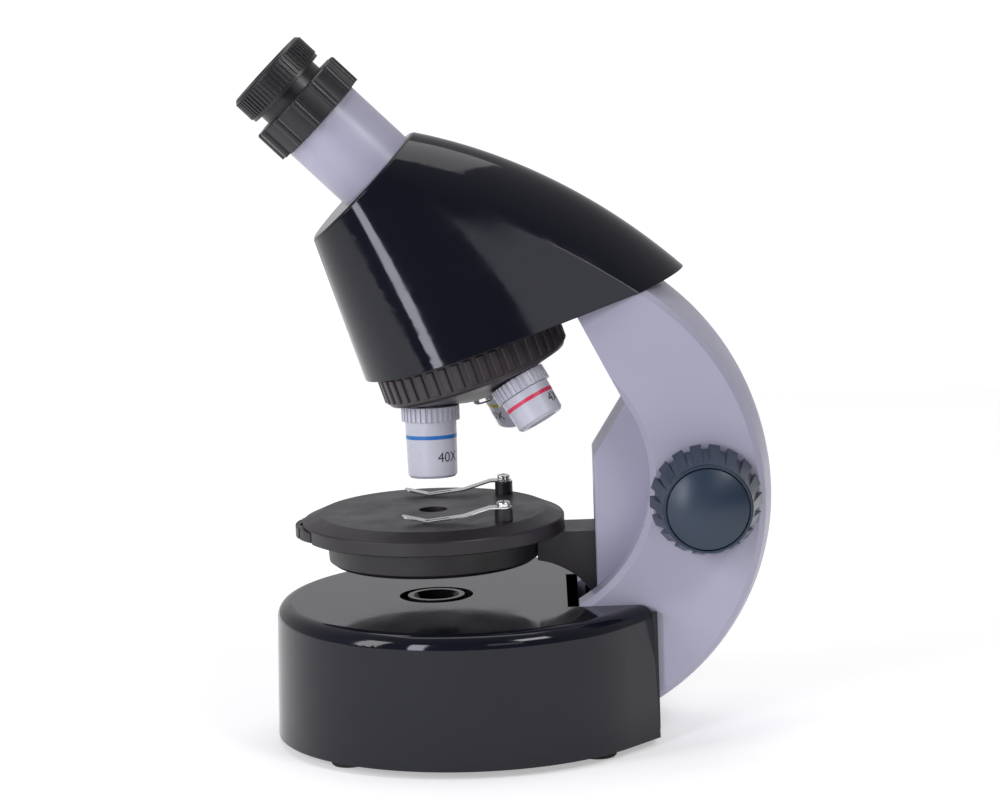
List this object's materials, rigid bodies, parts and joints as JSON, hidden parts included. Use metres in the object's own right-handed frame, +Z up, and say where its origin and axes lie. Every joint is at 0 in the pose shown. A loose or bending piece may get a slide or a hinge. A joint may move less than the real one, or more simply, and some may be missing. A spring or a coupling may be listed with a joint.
{
  "type": "microscope",
  "caption": "Small upright desk microscope with a round lamp base, C-shaped arm, rack focused round stage, rotating triple nosepiece and inclined zoom eyepiece.",
  "frame": {"origin": "centre of the bounding box footprint, on the surface the four feet stand on", "axes": "+Z up, +X from the eyepiece towards the arm, +Y from the right-hand side to the left-hand side of the instrument; the XZ plane is the plane of symmetry"},
  "size_m": [0.1618, 0.1236, 0.221],
  "materials": {
    "gloss_dark": "polished near-black blue-grey moulding",
    "arm_grey": "satin lavender-grey moulding",
    "tube_grey": "satin lavender-grey moulding",
    "stage_black": "satin dark brown-black moulding",
    "black_plastic": "satin black moulding",
    "knob_slate": "satin slate-blue moulding",
    "turret_brown": "satin brown-grey moulding",
    "objective_grey": "light grey, slightly glossy",
    "lens_glass": "clear polished",
    "filter_glass": "tinted transparent",
    "foot_rubber": "matt black",
    "steel_screw": "bright nickel plated",
    "spring_steel": "thin bright spring steel",
    "cell_jacket": "printed cell jacket, unmarked",
    "circuit_board": "green solder mask",
    "reflector": "polished black"
  },
  "bodies": {
    "frame": {"arm_left_shell": "arm_grey", "arm_right_shell": "arm_grey", "arm_screws": "steel_screw", "base_cover": "gloss_dark", "base_plate": "black_plastic", "base_screws": "steel_screw", "battery_box": "black_plastic", "battery_cells": "cell_jacket", "battery_contacts": "spring_steel", "battery_door": "black_plastic", "battery_door_screw": "steel_screw", "column": "arm_grey", "drawtube": "tube_grey", "head_floor": "black_plastic", "head_shell": "gloss_dark", "lamp_board": "circuit_board", "lamp_bulb": "lens_glass", "lamp_reflector": "reflector", "nosepiece_detent": "spring_steel", "nosepiece_screw": "steel_screw", "prism": "lens_glass", "prism_holder": "black_plastic", "rubber_feet": "foot_rubber", "switch_bezel": "black_plastic"},
    "stage_carriage": {"stage_plate": "stage_black", "stage_cup": "stage_black", "stage_bracket": "stage_black", "focus_rack": "black_plastic", "wheel_pin": "spring_steel", "clip_posts": "black_plastic", "clip_screws": "steel_screw"},
    "filter_selector": {"filter_wheel": "stage_black", "filter_discs": "filter_glass"},
    "clip_right": {"clip_right": "spring_steel"},
    "clip_left": {"clip_left": "spring_steel"},
    "focus_drive": {"focus_shaft": "spring_steel", "focus_pinion": "black_plastic", "focus_knob_right": "knob_slate", "focus_knob_left": "knob_slate", "knob_cap_right": "knob_slate", "knob_cap_left": "knob_slate"},
    "nosepiece": {"nosepiece_ring": "turret_brown", "nosepiece_cone": "turret_brown", "objective_10x_barrel": "objective_grey", "objective_10x_grip": "objective_grey", "objective_10x_lens": "lens_glass", "objective_40x_barrel": "objective_grey", "objective_40x_grip": "objective_grey", "objective_40x_lens": "lens_glass", "objective_4x_barrel": "objective_grey", "objective_4x_grip": "objective_grey", "objective_4x_lens": "lens_glass"},
    "zoom_collar": {"zoom_ring": "black_plastic"},
    "eyepiece": {"eyepiece_sleeve": "black_plastic", "eyepiece_cap": "black_plastic", "eye_lens": "lens_glass", "field_lens": "lens_glass"},
    "rocker": {"switch_rocker": "black_plastic"}
  },
  "joints": [
    {"name": "stage_focus", "type": "slide", "parent": "frame", "child": "stage_carriage", "axis": [0, 0, 1], "range_m": [-0.008, 0.008]},
    {"name": "focus_knob", "type": "hinge", "parent": "frame", "child": "focus_drive", "pos_m": [0.0596, 0, 0.0769], "axis": [0, 1, 0], "range_deg": [-77, 77]},
    {"name": "filter_turn", "type": "hinge", "parent": "stage_carriage", "child": "filter_selector", "pos_m": [-0.0439, 0, 0.067], "axis": [0, 0, 1], "continuous": true},
    {"name": "clip_right_swing", "type": "hinge", "parent": "stage_carriage", "child": "clip_right", "pos_m": [-0.0027, -0.0221, 0.0759], "axis": [0, 0, 1], "range_deg": [-20, 35]},
    {"name": "clip_left_swing", "type": "hinge", "parent": "stage_carriage", "child": "clip_left", "pos_m": [-0.0027, 0.0221, 0.0759], "axis": [0, 0, 1], "range_deg": [-35, 20]},
    {"name": "nosepiece_turn", "type": "hinge", "parent": "frame", "child": "nosepiece", "pos_m": [-0.0128, 0, 0.1242], "axis": [-0.309, 0, 0.9511], "continuous": true},
    {"name": "zoom_slide", "type": "slide", "parent": "frame", "child": "eyepiece", "axis": [-0.7071, 0, 0.7071], "range_m": [-0.002, 0.006]},
    {"name": "zoom_turn", "type": "hinge", "parent": "frame", "child": "zoom_collar", "pos_m": [-0.0549, 0, 0.195], "axis": [-0.7071, 0, 0.7071], "range_deg": [-45, 135]},
    {"name": "lamp_switch", "type": "hinge", "parent": "frame", "child": "rocker", "pos_m": [-0.0069, 0.0552, 0.027], "axis": [1, 0, 0], "range_deg": [-6, 6]}
  ],
  "couplings": [
    {"joint": "focus_knob", "follows": "stage_focus", "rad_per_m": 166.67},
    {"joint": "zoom_turn", "follows": "zoom_slide", "rad_per_m": 392.7}
  ]
}
